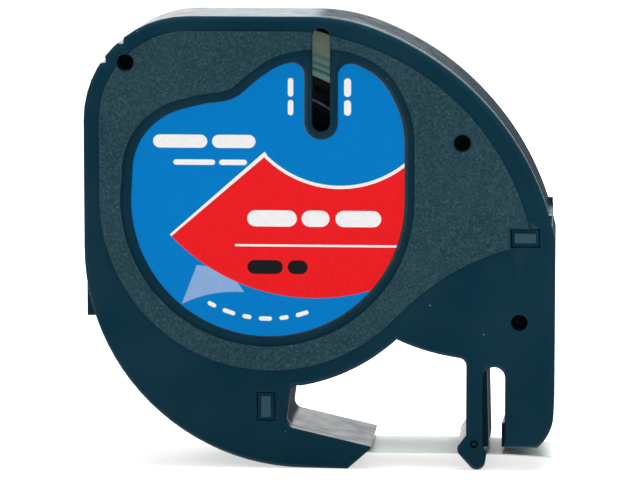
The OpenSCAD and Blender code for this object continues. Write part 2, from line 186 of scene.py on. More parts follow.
def flat_regions(bm):
    """Sets of touching faces that lie in one level and look the same way."""
    left = {f for f in bm.faces if is_flat(f)}
    while left:
        region = [left.pop()]
        for face in region:
            for edge in face.edges:
                for other in edge.link_faces:
                    if other in left and other.normal.dot(face.normal) > 0.9:
                        left.remove(other)
                        region.append(other)
        yield set(region)


def boundary_loops(region):
    """The closed loops of vertices round a region, in the turning sense of its faces."""
    ahead = {}
    for face in region:
        for loop in face.loops:
            if loop.link_loop_radial_next.face not in region:
                ahead.setdefault(loop.vert, []).append(loop.link_loop_next.vert)
    while ahead:
        start = here = next(iter(ahead))
        loop = []
        while here in ahead:
            loop.append(here)
            here = ahead[here].pop() if len(ahead[here]) > 1 else ahead.pop(here)[0]
        assert here == start
        yield loop


# An edge is rounded if it turns by more than this, in degrees
LEAST_TURN = 24

# A rounding narrower than this, in millimetres, is left out
LEAST_WIDTH = 0.004


class Rim:
    """One loop of a level face: its points, how far each is drawn in, and where each lands."""

    def __init__(self, bm, verts, width_of, side):
        self.verts = verts
        self.points = [plane(v.co) for v in verts]
        count = len(verts)
        edge_widths = []
        for i in range(count):
            edge = bm.edges.get((verts[i], verts[(i + 1) % count]))
            rounds = edge.is_convex and edge.calc_face_angle(0) > math.radians(LEAST_TURN)
            edge_widths.append((width_of(EdgeFacts(edge)) or 0) if rounds else 0)
        self.widths = [min(edge_widths[i - 1], edge_widths[i]) for i in range(count)]
        self.inward = []
        for i, p in enumerate(self.points):
            into = (p - self.points[i - 1]).normalized()
            onward = (self.points[(i + 1) % count] - p).normalized()
            n0 = Vector((-into.y, into.x)) * side
            n1 = Vector((-onward.y, onward.x)) * side
            self.inward.append((n0 + n1) / max(1 + n0.dot(n1), 0.25))
        self.even_out()

    def even_out(self, slope=0.25):
        """Keeps the widths from changing faster along the loop than slope."""
        count = len(self.points)
        for step in (1, -1):
            for i in range(2 * count):
                k = (i * step) % count
                before = (k - step) % count
                most = self.widths[before] + slope * (self.points[k] - self.points[before]).length
                self.widths[k] = min(self.widths[k], most)

    def landed(self):
        """The points of the loop after each is drawn in by its width."""
        return [p + m * w for p, m, w in zip(self.points, self.inward, self.widths)]

    def thin(self, *spots):
        """Narrows the rounding near some points of the loop."""
        for i in spots:
            self.widths[i % len(self.widths)] *= 0.8


def crosses(a, b, c, d):
    """True if the segments a-b and c-d cross or touch."""
    def side(p, q, r):
        return (q.x - p.x) * (r.y - p.y) - (q.y - p.y) * (r.x - p.x)

    if max(a.x, b.x) < min(c.x, d.x) or max(c.x, d.x) < min(a.x, b.x):
        return False
    if max(a.y, b.y) < min(c.y, d.y) or max(c.y, d.y) < min(a.y, b.y):
        return False
    return side(a, b, c) * side(a, b, d) <= 0 and side(c, d, a) * side(c, d, b) <= 0


def settle(rims, rounds=30):
    """Narrows the roundings of one face until its drawn-in loops neither fold nor cross."""
    for _ in range(rounds):
        clear = True
        lands = [rim.landed() for rim in rims]
        pieces = []
        for rim, land in zip(rims, lands):
            count = len(land)
            for i in range(count):
                k = (i + 1) % count
                pieces.append((rim, i, land[i], land[k]))
                if (land[k] - land[i]).dot(rim.points[k] - rim.points[i]) < 0:
                    rim.thin(i - 1, i, i + 1, i + 2)
                    clear = False
        pieces.sort(key=lambda piece: min(piece[2].x, piece[3].x))
        for n, (rim, i, a, b) in enumerate(pieces):
            right = max(a.x, b.x)
            for other, k, c, d in pieces[n + 1:]:
                if min(c.x, d.x) > right:
                    break
                count = len(rim.points)
                if rim is other and (i - k) % count in (0, 1, count - 1):
                    continue
                if crosses(a, b, c, d):
                    rim.thin(i, i + 1)
                    other.thin(k, k + 1)
                    clear = False
        if clear:
            return
        for rim in rims:
            rim.even_out()


def inside(point, outline):
    """True if a point is inside a closed outline."""
    x, y = point
    odd = False
    for (ax, ay), (bx, by) in zip(outline, outline[1:] + outline[:1]):
        if (ay > y) != (by > y) and x < (bx - ax) * (y - ay) / (by - ay) + ax:
            odd = not odd
    return odd


def flat_triangles(loops):
    """Triangles that fill the area inside an even-odd set of closed loops of points."""
    points, edges = [], []
    for loop in loops:
        first = len(points)
        points += loop
        edges += [(first + i, first + (i + 1) % len(loop)) for i in range(len(loop))]
    spots, _, faces, origins, *_ = delaunay_2d_cdt(points, edges, [], 0, 1e-7)
    for face in faces:
        centre = sum((spots[i] for i in face), Vector((0, 0))) / len(face)
        if sum(inside(centre, loop) for loop in loops) % 2:
            yield [origins[i][0] for i in face]


def rounded(bm, name, width_of, slot_of_level=None, segments=4):
    """Rounds the rims of the level faces by the millimetres that width_of gives each edge."""
    faces = []
    for region in flat_regions(bm):
        side = -1 if next(iter(region)).normal.y > 0 else 1
        rims = [Rim(bm, loop, width_of, side) for loop in boundary_loops(region)]
        settle(rims)
        faces.append((region, side, rims))
    for region, side, rims in faces:
        level = depth(next(iter(region)).verts[0].co)
        bmesh.ops.delete(bm, geom=list(region), context="FACES_ONLY")
        slot = slot_of_level(level, side) if slot_of_level else 0
        tops = []
        for rim in rims:
            columns = []
            for vert, p, m, w in zip(rim.verts, rim.points, rim.inward, rim.widths):
                column = [vert]
                if w > LEAST_WIDTH:
                    vert.co = at(p.x, p.y, level - side * w)
                    for k in range(1, segments + 1):
                        a = math.pi / 2 * k / segments
                        spot = p + m * w * (1 - math.cos(a))
                        drop = w * (1 - math.sin(a))
                        column.append(bm.verts.new(at(spot.x, spot.y, level - side * drop)))
                else:
                    column = [vert] * (segments + 1)
                columns.append(column)
            tops += [column[-1] for column in columns]
            for a, b in zip(columns, columns[1:] + columns[:1]):
                for k in range(segments):
                    ring = list(dict.fromkeys((a[k], b[k], b[k + 1], a[k + 1])))
                    if len(ring) > 2:
                        bm.faces.new(ring)
        for corners in flat_triangles([[plane(v.co) for v in part] for part in split(tops, rims)]):
            bm.faces.new([tops[i] for i in corners]).material_index = slot
    bare = [e for e in bm.edges if not e.link_faces]
    bmesh.ops.delete(bm, geom=bare, context="EDGES")
    bmesh.ops.recalc_face_normals(bm, faces=bm.faces)
    mesh = bpy.data.meshes.new(name)
    bm.to_mesh(mesh)
    bm.free()
    return mesh


def split(items, rims):
    """Cuts one long list into a list per rim."""
    start = 0
    for rim in rims:
        yield items[start:start + len(rim.verts)]
        start += len(rim.verts)


def lathe(profile, segments=160):
    """A closed ring round the hub axis from a closed (radius, depth) profile in millimetres."""
    bm = bmesh.new()
    rings = []
    for i in range(segments):
        a = 2 * math.pi * i / segments
        rings.append([bm.verts.new(at(r * math.cos(a), r * math.sin(a), w)) for r, w in profile])
    for i, ring in enumerate(rings):
        nxt = rings[(i + 1) % segments]
        for k in range(len(profile)):
            m = (k + 1) % len(profile)
            bm.faces.new((ring[k], ring[m], nxt[m], nxt[k]))
    bmesh.ops.recalc_face_normals(bm, faces=bm.faces)
    return bm


def sweep_tube(points, radius, sides=14):
    """A round wire along a list of points in the row frame, with closed ends."""
    bm = bmesh.new()
    rings = []
    normal = None
    for i, p in enumerate(points):
        ahead = points[min(i + 1, len(points) - 1)]
        behind = points[max(i - 1, 0)]
        along = (ahead - behind).normalized()
        if normal is None:
            normal = along.orthogonal().normalized()
        normal = (normal - along * normal.dot(along)).normalized()
        side = along.cross(normal)
        ring = []
        for k in range(sides):
            a = 2 * math.pi * k / sides
            ring.append(bm.verts.new(p + (normal * math.cos(a) + side * math.sin(a)) * radius))
        rings.append(ring)
    for ring, nxt in zip(rings, rings[1:]):
        for k in range(sides):
            m = (k + 1) % sides
            bm.faces.new((ring[k], ring[m], nxt[m], nxt[k]))
    bm.faces.new(rings[0])
    bm.faces.new(rings[-1])
    bmesh.ops.recalc_face_normals(bm, faces=bm.faces)
    return bm


# ---------------------------------------------------------------- shader nodes

class Shader:
    """Adds nodes to a material or world. Inputs take a number, a colour or a node's output."""

    def __init__(self, owner, surface="Principled BSDF"):
        owner.use_nodes = True
        self.owner = owner
        self.tree = owner.node_tree
        self.surface = self.tree.nodes[surface]
        self.place = self.add("TexCoord").outputs["Object"]

    def add(self, kind, inputs=None, **settings):
        made = self.tree.nodes.new("ShaderNode" + kind)
        for key, value in settings.items():
            setattr(made, key, value)
        for key, value in (inputs or {}).items():
            self.put(made.inputs[key], value)
        return made

    def put(self, socket, value):
        if isinstance(value, bpy.types.NodeSocket):
            self.tree.links.new(value, socket)
        elif socket.type == "RGBA" and len(value) == 3:
            socket.default_value = (*value, 1)
        else:
            socket.default_value = value

    def maths(self, operation, a, b=0.0, clamp=False):
        return self.add("Math", {0: a, 1: b}, operation=operation, use_clamp=clamp).outputs[0]

    def dot(self, a, b):
        return self.add("VectorMath", {0: a, 1: b}, operation="DOT_PRODUCT").outputs["Value"]

    def noise(self, size_mm, detail=2.0, place=None, roughness=0.5):
        """Noise from 0 to 1 whose features are about size_mm across."""
        inputs = {
            "Vector": place or self.place,
            "Scale": 1 / (size_mm * MM),
            "Detail": detail,
            "Roughness": roughness,
        }
        return self.add("TexNoise", inputs).outputs["Fac"]

    def step(self, value, low, high, out_low=0.0, out_high=1.0):
        """Smoothly takes value from low..high to out_low..out_high."""
        inputs = {
            "Value": value,
            "From Min": low,
            "From Max": high,
            "To Min": out_low,
            "To Max": out_high,
        }
        return self.add("MapRange", inputs, interpolation_type="SMOOTHSTEP").outputs["Result"]

    def mix(self, share, a, b):
        made = self.add("Mix", data_type="RGBA")
        self.put(made.inputs["Factor"], share)
        self.put(made.inputs[6], a)
        self.put(made.inputs[7], b)
        return made.outputs[2]

    def bump(self, height, height_mm, strength=1.0):
        """A bump input whose full 0 to 1 height is height_mm."""
        inputs = {"Height": height, "Distance": height_mm * MM, "Strength": strength}
        return self.add("Bump", inputs).outputs["Normal"]

    def edges(self, radius_mm):
        """About 0 on flat faces and up to 1 on edges, inside and outside ones alike."""
        soft = self.add("Bevel", {"Radius": radius_mm * MM}, samples=6).outputs["Normal"]
        plain = self.add("NewGeometry").outputs["Normal"]
        return self.maths("SUBTRACT", 1.0, self.dot(soft, plain), clamp=True)

    def finish(self, **inputs):
        for key, value in inputs.items():
            self.put(self.surface.inputs[key.replace("_", " ")], value)
        return self.owner


def painted_seam_highlight(s):
    """Share of a painted highlight: a thin bright line along the seam, on the upper right of the
    shell, where the seam edge catches the overhead light.
    """
    w = s.maths("DIVIDE", s.add("SeparateXYZ", {0: s.place}).outputs[1], -MM)
    off = s.maths("ABSOLUTE", s.maths("SUBTRACT", w, SEAM - 0.02))
    upper_right = (0.75, 0.0, 0.66)
    facing = s.dot(s.add("NewGeometry").outputs["Normal"], upper_right)
    return s.maths("MULTIPLY", s.step(off, 0.22, 0.1, 0.0, 0.85), s.step(facing, 0.3, 0.8))


def dust_spots(s):
    """1 in a few tiny spots and 0 elsewhere: some cells of this size have a spot."""
    cell_mm = 3.1
    cells = s.add("TexVoronoi", {"Vector": s.place, "Scale": 1 / (cell_mm * MM)}).outputs
    spot = s.step(cells["Distance"], 0.02, 0.045, 1.0, 0.0)
    draw = s.add("SeparateColor", {0: cells["Color"]}).outputs[0]
    return s.maths("MULTIPLY", spot, s.maths("GREATER_THAN", draw, 0.62))


def moulded(
    name, colour, light, roughness,
    speckle=0.0, grain_mm=0.25, grain_height=0.0, dust=0.0, gloss=0.25, seam_highlight=False,
):
    """Moulded plastic: speckled between two colours, with grain, a painted highlight on its edges,
    a painted highlight along the seam if asked, and a little dust.
    """
    s = Shader(bpy.data.materials.new(name))
    grain = s.noise(grain_mm, detail=2.5, roughness=0.6)
    fleck = s.step(grain, 0.5, 0.68)
    pit = s.step(grain, 0.46, 0.3)
    cloud = s.noise(9.0, detail=2.0)
    base = s.mix(s.maths("MULTIPLY", fleck, speckle), colour, light)
    base = s.mix(s.maths("MULTIPLY", pit, speckle), base, tuple(c * 0.45 for c in colour))
    base = s.mix(s.maths("MULTIPLY", s.step(cloud, 0.35, 0.7), 0.09), base, light)
    # Painted highlight on the edges, inside and outside ones alike, broken into patches: the colour
    # turns towards the light tone there.
    patchy = s.step(s.noise(1.4), 0.3, 0.7, 0.1, 0.55)
    edge_highlight = s.maths("MULTIPLY", s.step(s.edges(0.12), 0.02, 0.25), patchy)
    base = s.mix(edge_highlight, base, light)
    # Painted highlight: a bright line along the seam on the upper right, standing in for light
    # caught by the seam edge.
    if seam_highlight:
        base = s.mix(painted_seam_highlight(s), base, SEAM_HIGHLIGHT)
    if dust:
        base = s.mix(s.maths("MULTIPLY", dust_spots(s), dust), base, DUST)
    rough = s.step(s.noise(2.6, detail=3.0), 0.25, 0.75, roughness - 0.05, roughness + 0.07)
    ripple = s.bump(s.noise(1.9, detail=1.0), 0.002)
    relief = {"Height": grain, "Distance": max(grain_height, 0.001) * MM, "Normal": ripple}
    fine = s.add("Bump", relief).outputs["Normal"]
    return s.finish(Base_Color=base, Roughness=rough, Normal=fine, Specular_IOR_Level=gloss)


def printed(name, colour):
    """Printed label film: nearly even ink with a faint mottle and a soft sheen."""
    s = Shader(bpy.data.materials.new(name))
    mottle = s.step(s.noise(0.5, detail=3.0), 0.3, 0.75)
    dark = tuple(c * 0.93 for c in colour)
    base = s.mix(mottle, dark, colour)
    rough = s.step(s.noise(1.5), 0.3, 0.7, 0.42, 0.52)
    relief = s.bump(s.noise(0.35, detail=2.0), 0.002)
    return s.finish(Base_Color=base, Roughness=rough, Normal=relief, Specular_IOR_Level=0.04)


def wound_tape():
    """The edge of wound tape: rings of beige, olive and teal that streak along the winding."""
    s = Shader(bpy.data.materials.new("wound_tape"))
    x, _, z = s.add("SeparateXYZ", {0: s.place}).outputs
    radius = s.maths("SQRT", s.maths("ADD", s.maths("POWER", x, 2.0), s.maths("POWER", z, 2.0)))
    angle = s.maths("ARCTAN2", z, x)
    inner, outer = roll_radii()
    outward = s.maths("DIVIDE", s.maths("SUBTRACT", radius, inner * MM), (outer - inner) * MM)
    across, along = s.maths("MULTIPLY", outward, 16.0), s.maths("MULTIPLY", angle, 1.6)
    polar = s.add("CombineXYZ", {0: across, 1: along}).outputs[0]
    streak = s.noise(1 / MM, detail=4.0, place=polar, roughness=0.65)
    warp = s.maths("ADD", outward, s.maths("MULTIPLY", s.maths("SUBTRACT", streak, 0.5), 0.16))
    ramp = s.add("ValToRGB", {0: warp})
    stops = (
        (0.0, (0.19, 0.33, 0.30)),
        (0.08, (0.24, 0.40, 0.35)),
        (0.16, (0.03, 0.15, 0.15)),
        (0.22, (0.24, 0.38, 0.32)),
        (0.30, (0.05, 0.18, 0.17)),
        (0.36, (0.23, 0.37, 0.31)),
        (0.46, (0.11, 0.23, 0.20)),
        (0.55, (0.25, 0.34, 0.25)),
        (1.0, (0.22, 0.29, 0.21)),
    )
    bands = ramp.color_ramp
    for i, (spot, colour) in enumerate(stops):
        stop = bands.elements[i] if i < 2 else bands.elements.new(spot)
        stop.position = spot
        stop.color = (*colour, 1)
    base = s.mix(s.step(streak, 0.55, 0.75, 0.0, 0.6), ramp.outputs["Color"], (0.05, 0.12, 0.10))
    rough = s.step(s.step(radius, inner * MM, outer * MM), 0.0, 1.0, 0.55, 0.45)
    return s.finish(Base_Color=base, Roughness=rough, Specular_IOR_Level=0.2)


def steel():
    """Drawn spring steel with fine lines."""
    s = Shader(bpy.data.materials.new("spring_steel"))
    drawn = s.add("Mapping", {"Vector": s.place, "Scale": (1.0, 8.0, 1.0)}).outputs[0]
    lines = s.noise(0.4, detail=3.0, place=drawn)
    base = s.mix(lines, (0.42, 0.43, 0.44), (0.62, 0.63, 0.64))
    rough = s.step(lines, 0.3, 0.7, 0.25, 0.42)
    return s.finish(Base_Color=base, Roughness=rough, Metallic=1.0, Normal=s.bump(lines, 0.003))


def clear_film():
    """Thin clear film: mostly see-through, with a faint sheen that thickens at grazing angles."""
    s = Shader(bpy.data.materials.new("clear_film"))
    scuff = s.step(s.noise(2.2, detail=3.0), 0.5, 0.8, 0.004, 0.015)
    edge = s.maths("MULTIPLY", s.add("LayerWeight", {"Blend": 0.12}).outputs["Facing"], 0.2)
    share = s.maths("ADD", scuff, edge, clamp=True)
    return s.finish(Base_Color=(0.75, 0.8, 0.8), Roughness=0.2, Alpha=share, Specular_IOR_Level=0.3)


def tape_film():
    """Off-white label film: faint lengthwise lines, and light glows through it a little."""
    s = Shader(bpy.data.materials.new("tape_film"))
    long = s.add("Mapping", {"Vector": s.place, "Scale": (0.04, 1.0, 1.0)}).outputs[0]
    lines = s.noise(0.7, detail=3.0, place=long)
    base = s.mix(lines, (0.78, 0.81, 0.76), (0.88, 0.90, 0.85))
    rough = s.step(lines, 0.3, 0.7, 0.28, 0.4)
    return s.finish(
        Base_Color=base, Roughness=rough, Normal=s.bump(lines, 0.004), Specular_IOR_Level=0.3,
        Subsurface_Weight=0.25, Subsurface_Scale=0.0006,
    )


def liner_paper():
    """Off-white release paper with fine fibres."""
    s = Shader(bpy.data.materials.new("liner_paper"))
    fibre = s.noise(0.3, detail=5.0, roughness=0.7)
    base = s.mix(fibre, (0.66, 0.67, 0.61), (0.80, 0.80, 0.73))
    rough = s.step(fibre, 0.3, 0.7, 0.55, 0.7)
    relief = s.bump(fibre, 0.01)
    return s.finish(Base_Color=base, Roughness=rough, Normal=relief, Specular_IOR_Level=0.2)


# ---------------------------------------------------------------- levels, radii and plastics

def box_mm(node_name):
    """Low and high corner of a CAD node in millimetres."""
    low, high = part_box(node_name)
    return low / MM, high / MM


def roll_radii():
    """Inner and outer radius of the wound tape."""
    return box_mm("tape_core")[1].x + 0.01, box_mm("tape_roll")[1].x


# Levels on the cover, from its textured panel down to the lower end of its pin sockets
PANEL_TOP = depth(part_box("front_cover")[0])
BORDER_TOP = PANEL_TOP - 0.15
LEDGE_TOP = BORDER_TOP - 0.2
LABEL_TOP = depth(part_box("face_label")[0])
POCKET_FLOOR = depth(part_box("face_label")[1])
PLATE_LOW = 15.0
SKIRT_LOW = 14.05
SOCKET_FLOOR = 12.0

# Levels on the housing
LATCH_TOP = BORDER_TOP - 0.1
SEAM = 14.0
BOSS_TOP = 13.6

# Middle and radius of the small hole in the finger's head
HEAD_PIN = Vector((26.7, -31.4))
HEAD_HOLE = 0.6

TEAL = (0.0026, 0.0275, 0.0470)
TEAL_LIGHT = (0.030, 0.075, 0.095)
# Colour of the painted highlight along the seam
SEAM_HIGHLIGHT = (0.60, 0.62, 0.62)
DUST = (0.22, 0.30, 0.32)
# The shell carries the painted seam highlight.
SHELL = moulded("shell_plastic", TEAL, TEAL_LIGHT, 0.17, dust=0.8, gloss=0.22, seam_highlight=True)
PANEL = moulded(
    "shell_plastic_grained", (0.0058, 0.044, 0.062), (0.044, 0.100, 0.118), 0.6,
    speckle=0.85, grain_mm=0.2, grain_height=0.015, gloss=0.25,
)
POCKET = moulded(
    "shell_plastic_pocket", (0.022, 0.046, 0.055), (0.05, 0.08, 0.095), 0.6,
    speckle=0.6, grain_mm=0.25, grain_height=0.012, gloss=0.3,
)
# A lighter copy of the shell plastic for the latch ends: painted light, for the light they catch.
LATCH_PAINTED_LIGHT = moulded(
    "shell_plastic_latch_painted_light", (0.018, 0.068, 0.088), (0.06, 0.13, 0.15), 0.5,
    speckle=0.3, grain_mm=0.3, grain_height=0.01, gloss=0.25,
)
# A darker copy of the shell plastic for the face of the hub boss deep inside: painted shade.
BOSS_PAINTED_SHADE = moulded(
    "shell_plastic_boss_painted_shade", (0.0010, 0.0050, 0.0080), (0.008, 0.020, 0.026), 0.5, gloss=0.05,
)
BLACK = moulded(
    "core_plastic", (0.0022, 0.0026, 0.0030), (0.02, 0.022, 0.024), 0.45, gloss=0.12,
)


# ---------------------------------------------------------------- the shell

def cover_rounding(f):
    """Radius in millimetres for an edge of the cover: small beside a shallow step."""
    through = f.wall_low < PLATE_LOW + 0.1
    if near(f.level, SKIRT_LOW):
        return 0.16
    if near(f.level, PANEL_TOP):
        return 0.16 if through else 0.07
    if near(f.level, LEDGE_TOP):
        return 0.2 if through else 0.06
    if near(f.level, BORDER_TOP):
        if (f.place - HEAD_PIN).length < HEAD_HOLE or near(f.wall_low, SOCKET_FLOOR):
            return 0.12
        return 0.6 if near(f.wall_low, SKIRT_LOW) else 0.24
    return 0


def cover_slots(level, side):
    """Material slot of a level face of the cover: side is 1 if it looks to the front."""
    if side > 0 and near(level, PANEL_TOP):
        return 1
    if side > 0 and near(level, POCKET_FLOOR):
        return 2
    return 0


def build_cover():
    """The front shell with its grained panel and label pocket."""
    mesh = rounded(welded("front_cover"), "front_cover_shell", cover_rounding, cover_slots)
    looks = [SHELL, PANEL, POCKET]
    mesh_object("front_cover_shell", mesh, looks, "cover", "shell_plastic", ["front_cover"])


def housing_rounding(f):
    """Radius in millimetres for an edge of the housing."""
    if near(f.level, 0):
        return 0.4
    if near(f.level, SEAM):
        return 0.18
    if f.level > BORDER_TOP - 0.3:
        return 0.12
    return 0.1


def housing_slots(level, side):
    """Material slot of a level face of the housing: the latch ends get painted light and the hub
    boss painted shade.
    """
    if side > 0 and near(level, LATCH_TOP):
        return 1
    return 2 if side > 0 and near(level, BOSS_TOP) else 0


def build_housing():
    """The tub behind the cover."""
    mesh = rounded(welded("rear_housing"), "rear_housing_tub", housing_rounding, housing_slots)
    looks = [SHELL, LATCH_PAINTED_LIGHT, BOSS_PAINTED_SHADE]
    mesh_object("rear_housing_tub", mesh, looks, "housing", "shell_plastic", ["rear_housing"])


# ---------------------------------------------------------------- the printed label

# Widths of the white lines along the red field
EDGE_LINE, WAVE_LINE = 0.5, 0.42


def label_outline():
    """The label's outline as one loop of plane points, from the CAD node's front face."""
    bm = welded("face_label")
    front = {f for f in bm.faces if f.normal.y < -0.9}
    points = [plane(v.co) for v in next(boundary_loops(front))]
    bm.free()
    return points


def label_print():
    """Plain colour fields of the label, the last one on top: (colour slot, outline)."""
    white, red, pale, black = 1, 2, 3, 4
    tip, apex = Vector((-12.4, -4.7)), Vector((-0.4, 5.6))
    sweep = (tuple(apex), (7.0, 1.75), (18.2, 4.9))
    keel = ((19.0, -9.0), (5.5, -12.6), tuple(tip))
    along = (apex - tip).normalized() * EDGE_LINE
    out = Vector((-along.y, along.x))
    field = arc_through(*sweep) + arc_through(*keel)
    edge_line = [tuple(p) for p in (tip, apex + along, apex + along + out, tip + out * 0.6)]
    wave_line = arc_through(*sweep) + arc_through(*reversed(sweep), shift=-WAVE_LINE)
    wedge = arc_through((-11.1, -13.5), (-7.4, -12.2), (-3.0, -11.9)) + [(-5, -9), (-9.1, -8.4)]
    fields = [(pale, wedge), (white, edge_line), (white, wave_line), (red, field)]
    fields.append((white, pill(6.3, -5.8, 21.0, 0.28)))
    for u, length in ((0.6, 6.4), (6.2, 3.6), (11.7, 5.9)):
        fields.append((white, pill(u, -2.3, length, 2.1)))
    for u, length in ((-0.3, 4.6), (3.9, 2.6)):
        fields.append((black, pill(u, -8.6, length, 1.8)))
    for u, length in ((-11.2, 7.0), (-4.3, 5.6)):
        fields.append((white, pill(u, 7.6, length, 1.7)))
    for u, length in ((-9.4, 5.4), (-4.4, 3.6)):
        fields.append((white, pill(u, 4.9, length, 0.7)))
    for v, length in ((12.0, 2.0), (14.6, 2.4)):
        fields.append((white, pill(3.0, v, length, 0.7, turn=90)))
        fields.append((white, pill(10.3, v, length, 0.9, turn=90)))
    for a in range(-118, -64, 9):
        spot = arc((0, 0), 15.3, a, a, 1)[0]
        fields.append((white, pill(*spot, 1.7 if a % 2 else 1.2, 0.55, turn=a + 90)))
    return fields


def build_label():
    """A thin sheet whose front is cut along the edges of the colour fields."""
    outline = [tuple(p) for p in label_outline()]
    fields = label_print()
    points, edges = [], []
    for loop in [outline] + [f[1] for f in fields]:
        first = len(points)
        points += [Vector(p) for p in loop]
        edges += [(first + i, first + (i + 1) % len(loop)) for i in range(len(loop))]
    spots, _, faces, *_ = delaunay_2d_cdt(points, edges, [], 0, 1e-5)
    bm = bmesh.new()
    front = [bm.verts.new(at(p[0], p[1], LABEL_TOP)) for p in spots]
    back = [bm.verts.new(at(p[0], p[1], POCKET_FLOOR)) for p in spots]
    borders = {}
    for face in faces:
        centre = sum((spots[i] for i in face), Vector((0, 0))) / len(face)
        if not inside(centre, outline):
            continue
        colour = 0
        for slot, shape in fields:
            if inside(centre, shape):
                colour = slot
        bm.faces.new([front[i] for i in face]).material_index = colour
        bm.faces.new([back[i] for i in reversed(face)]).material_index = 1
        for i, k in zip(face, face[1:] + face[:1]):
            if (k, i) in borders:
                del borders[(k, i)]
            else:
                borders[(i, k)] = True
    for i, k in borders:
        bm.faces.new((front[k], front[i], back[i], back[k])).material_index = 1
    loose = [v for v in bm.verts if not v.link_faces]
    bmesh.ops.delete(bm, geom=loose, context="VERTS")
    bmesh.ops.recalc_face_normals(bm, faces=bm.faces)
    inks = [
        printed("label_blue", (0.0, 0.185, 0.53)),
        printed("label_white", (0.83, 0.83, 0.83)),
        printed("label_red", (0.79, 0.012, 0.016)),
        printed("label_pale_blue", (0.235, 0.385, 0.65)),
        printed("label_black", (0.012, 0.012, 0.014)),
    ]
    new_object("face_label_print", bm, inks, "cover", "printed_label", ["face_label"])


# ---------------------------------------------------------------- the spool and its spring

def build_core():
    """The black hub inside the roll."""
    mesh = rounded(welded("tape_core"), "tape_core_hub", lambda f: 0.12, segments=3)
    mesh_object("tape_core_hub", mesh, [BLACK], "spool", "core_plastic", ["tape_core"])


def build_roll():
    """Wound tape as close rings, each one wound a hair deeper or prouder than the next."""
    inner, outer = roll_radii()
    low, high = box_mm("tape_roll")
    rear, front = -high.y, -low.y
    turns, gap, unevenness = 34, 0.06, 0.07
    random.seed(7)
    pitch = (outer - inner) / turns
    sides = []
    for level, sign in ((front, -1), (rear, 1)):
        side = []
        for i in range(turns):
            w = level + sign * random.uniform(0.0, unevenness)
            side += [(inner + (i + gap) * pitch, w), (inner + (i + 1 - gap) * pitch, w)]
        side[0] = (inner, side[0][1])
        side[-1] = (outer, side[-1][1])
        sides.append(side)
    ring = lathe(sides[0] + sides[1][::-1])
    new_object("tape_roll_wound", ring, [wound_tape()], "spool", "wound_tape", ["tape_roll"], 30)


def build_spring():
    """A close-wound helix with its arm."""
    low, _ = box_mm("brake_spring")
    wire, turns, steps = 0.3, 1.8, 120
    end = math.radians(-5.0)
    arm_w = -low.y - wire
    coil_r = -low.x - wire
    rise = 2.03 * wire * turns
    points = []
    for i in range(steps + 1):
        left = 1 - i / steps
        a = end - 2 * math.pi * turns * left
        points.append(at(coil_r * math.cos(a), coil_r * math.sin(a), arm_w - rise * left))
    for reach in (0.25, 0.6, 1.2, 2.0):
        a = end + math.radians(min(reach, 0.6) * 1.2)
        r = coil_r + reach
        points.append(at(r * math.cos(a), r * math.sin(a), arm_w))
    bm = sweep_tube(points, wire * MM)
    new_object("brake_spring_coil", bm, [steel()], "spool", "spring_steel", ["brake_spring"], 50)


# ---------------------------------------------------------------- tape path

# The strip droops from here on, by this much at its front corner and this much more per
# millimetre towards the rear
DROOP_FROM = 24.0
DROOP = 0.42
DROOP_TWIST = 0.02


def drooping_sheet(low, high, front, end):
    """The box from low to high as a fine-meshed sheet that droops towards its end."""
    us = [low.x + (high.x - low.x) * i / 60 for i in range(61)]
    ws = [-high.y + (high.y - low.y) * i / 8 for i in range(9)]
    bm = bmesh.new()
    sides = []
    for v in (high.z, low.z):
        side = []
        for u in us:
            t = max(0.0, (u - DROOP_FROM) / (end - DROOP_FROM))
            drops = [(DROOP + DROOP_TWIST * (front - w)) * t ** 2 for w in ws]
            side.append([bm.verts.new(at(u, v - d, w)) for w, d in zip(ws, drops)])
        sides.append(side)
    top, under = sides
    rows, cols = range(len(us) - 1), range(len(ws) - 1)
    for i in rows:
        for k in cols:
            bm.faces.new((top[i][k], top[i + 1][k], top[i + 1][k + 1], top[i][k + 1]))
            bm.faces.new((under[i][k], under[i][k + 1], under[i + 1][k + 1], under[i + 1][k]))
    for i in rows:
        for k in (0, -1):
            bm.faces.new((top[i][k], under[i][k], under[i + 1][k], top[i + 1][k]))
    for k in cols:
        for i in (0, -1):
            bm.faces.new((top[i][k], top[i][k + 1], under[i][k + 1], under[i][k]))
    bmesh.ops.recalc_face_normals(bm, faces=bm.faces)
    return bm


def build_strip():
    """The straight tape: a film and two liner halves that droop together past the leg."""
    film_low, film_high = box_mm("tape_film")
    paper = liner_paper()
    layers = (
        ("tape_film", "tape_film_strip", tape_film(), "tape_film"),
        ("tape_liner_front", "tape_liner_front_half", paper, "liner_paper"),
        ("tape_liner_rear", "tape_liner_rear_half", paper, "liner_paper"),
    )
    for node_name, name, material, slot in layers:
        sheet = drooping_sheet(*box_mm(node_name), -film_low.y, film_high.x)
        new_object(name, sheet, [material], "tape_strip", slot, [node_name])


def build_small_parts():
    """The roller, the lead tape, the leaf spring and the two clear sheets."""
    mesh = rounded(welded("guide_roller"), "guide_roller_tube", lambda f: 0.15, segments=3)
    mesh_object("guide_roller_tube", mesh, [BLACK], "roller", "core_plastic", ["guide_roller"])
    for node_name, name, material, slot in (
        ("lead_tape", "lead_tape_band", tape_film(), "tape_film"),
        ("tape_brake_leaf", "tape_brake_leaf_spring", steel(), "spring_steel"),
    ):
        new_object(name, welded(node_name), [material], "housing", slot, [node_name])
    film = clear_film()
    for name in ("slip_sheet_front", "slip_sheet_rear"):
        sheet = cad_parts[name]
        sheet.data.materials.clear()
        sheet.data.materials.append(film)


# ---------------------------------------------------------------- stage, light and camera

# Strength of the white surroundings for every ray but the camera's own
SOFT_LIGHT = 0.55

# Glow of the floor, and how much brighter the camera sees it
FLOOR_GLOW, FLOOR_SEEN = 0.25, 0.35


